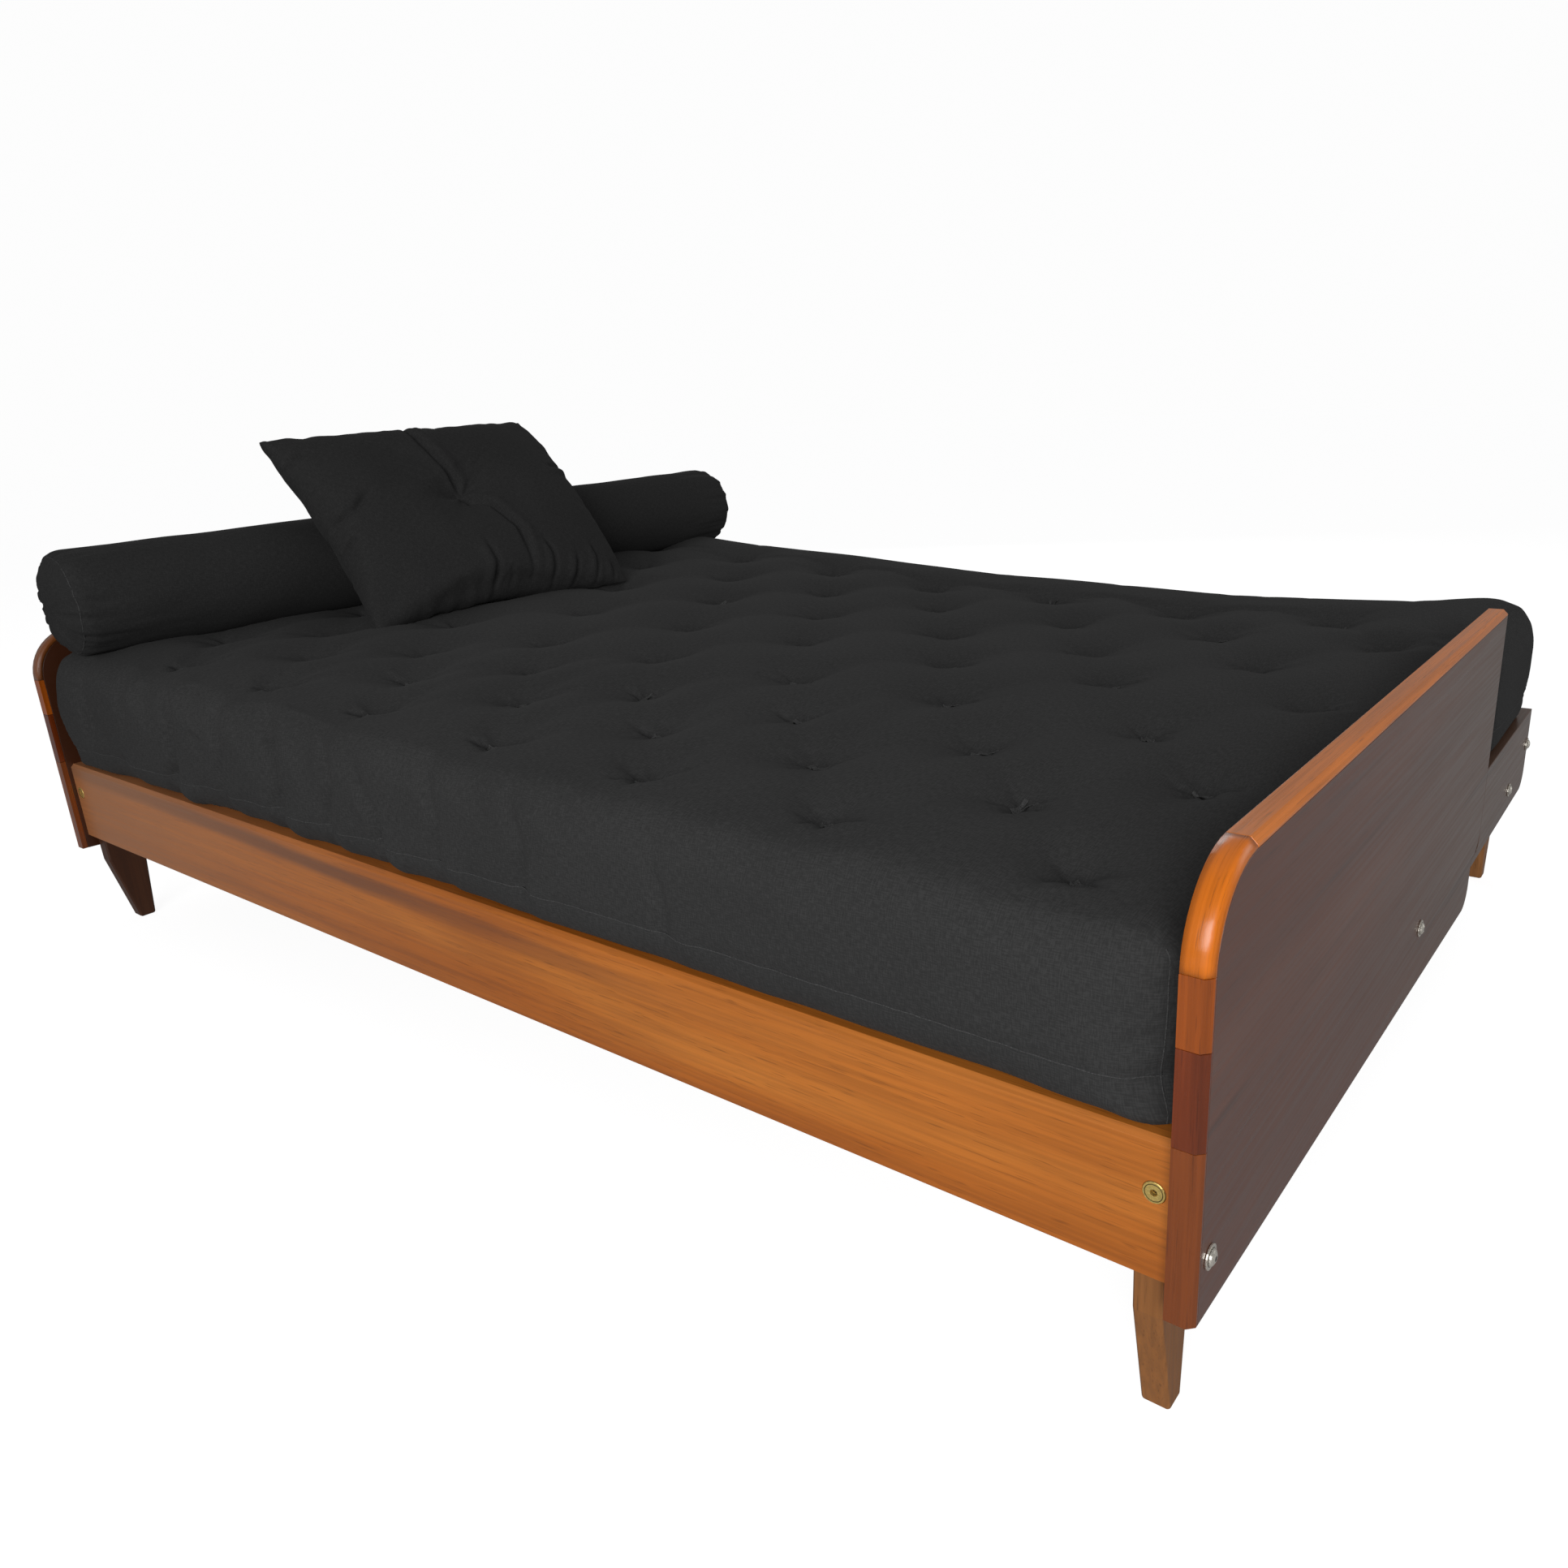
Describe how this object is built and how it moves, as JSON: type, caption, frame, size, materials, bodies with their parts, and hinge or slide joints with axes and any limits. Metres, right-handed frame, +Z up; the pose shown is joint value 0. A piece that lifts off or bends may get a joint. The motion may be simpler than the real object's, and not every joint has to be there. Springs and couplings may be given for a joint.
{
  "type": "daybed",
  "caption": "Wooden daybed with dark veneered end panels, orange wood edging, a plain front rail, tapered legs, a slatted base, a tufted mattress, a bolster and a leaning cushion.",
  "frame": {"origin": "on the floor, under the middle of the bed's outline", "axes": "+X along the front rail towards the right end panel, +Y from the front rail to the rear rail, +Z up"},
  "size_m": [1.9986, 1.4336, 0.7951],
  "materials": {
    "rail_wood": "satin varnished hardwood, grain along the rail",
    "edging_wood": "gloss varnished red-brown solid wood",
    "panel_veneer": "semi-gloss dark grey-brown veneer",
    "leg_wood": "satin stained hardwood",
    "slat_wood": "bare planed softwood",
    "nickel": "bright plated steel",
    "brass": "yellow plated zinc",
    "black_cotton": "matt woven cotton"
  },
  "bodies": {
    "base": {"front_rail": "rail_wood", "middle_rail": "slat_wood", "rear_rail": "rail_wood", "mattress_stop": "rail_wood", "front_ledger": "slat_wood", "rear_ledger": "slat_wood", "centre_leg": "leg_wood", "left_end_panel": "panel_veneer", "left_extension_board": "panel_veneer", "left_edging_lower": "edging_wood", "left_edging_middle": "edging_wood", "left_edging_upper": "edging_wood", "left_edging_corner": "edging_wood", "left_edging_top": "edging_wood", "left_side_cleat": "slat_wood", "left_front_bolt": "nickel", "left_middle_bolt": "nickel", "left_extension_bolt": "nickel", "left_rear_bolt": "nickel", "left_cam_lock": "brass", "right_end_panel": "panel_veneer", "right_extension_board": "panel_veneer", "right_edging_lower": "edging_wood", "right_edging_middle": "edging_wood", "right_edging_upper": "edging_wood", "right_edging_corner": "edging_wood", "right_edging_top": "edging_wood", "right_side_cleat": "slat_wood", "right_front_bolt": "nickel", "right_middle_bolt": "nickel", "right_extension_bolt": "nickel", "right_rear_bolt": "nickel", "right_cam_lock": "brass", "front_left_leg": "leg_wood", "front_left_corner_block": "slat_wood", "front_right_leg": "leg_wood", "front_right_corner_block": "slat_wood", "rear_left_leg": "leg_wood", "rear_left_corner_block": "slat_wood", "rear_right_leg": "leg_wood", "rear_right_corner_block": "slat_wood", "slat_01": "slat_wood", "slat_02": "slat_wood", "slat_03": "slat_wood", "slat_04": "slat_wood", "slat_05": "slat_wood", "slat_06": "slat_wood", "slat_07": "slat_wood", "slat_08": "slat_wood", "slat_09": "slat_wood", "slat_10": "slat_wood", "slat_11": "slat_wood", "slat_12": "slat_wood", "slat_13": "slat_wood", "slat_14": "slat_wood"},
    "mattress": {"mattress": "black_cotton"},
    "bolster": {"bolster": "black_cotton"},
    "cushion": {"cushion": "black_cotton"}
  },
  "joints": [
    {"name": "mattress_lift", "type": "slide", "parent": "base", "child": "mattress", "axis": [0, 0, 1], "range_m": [0, 0.3]},
    {"name": "bolster_lift", "type": "slide", "parent": "mattress", "child": "bolster", "axis": [0, 0, 1], "range_m": [0, 0.3]},
    {"name": "cushion_lift", "type": "slide", "parent": "bolster", "child": "cushion", "axis": [0, 0, 1], "range_m": [0, 0.3]}
  ]
}
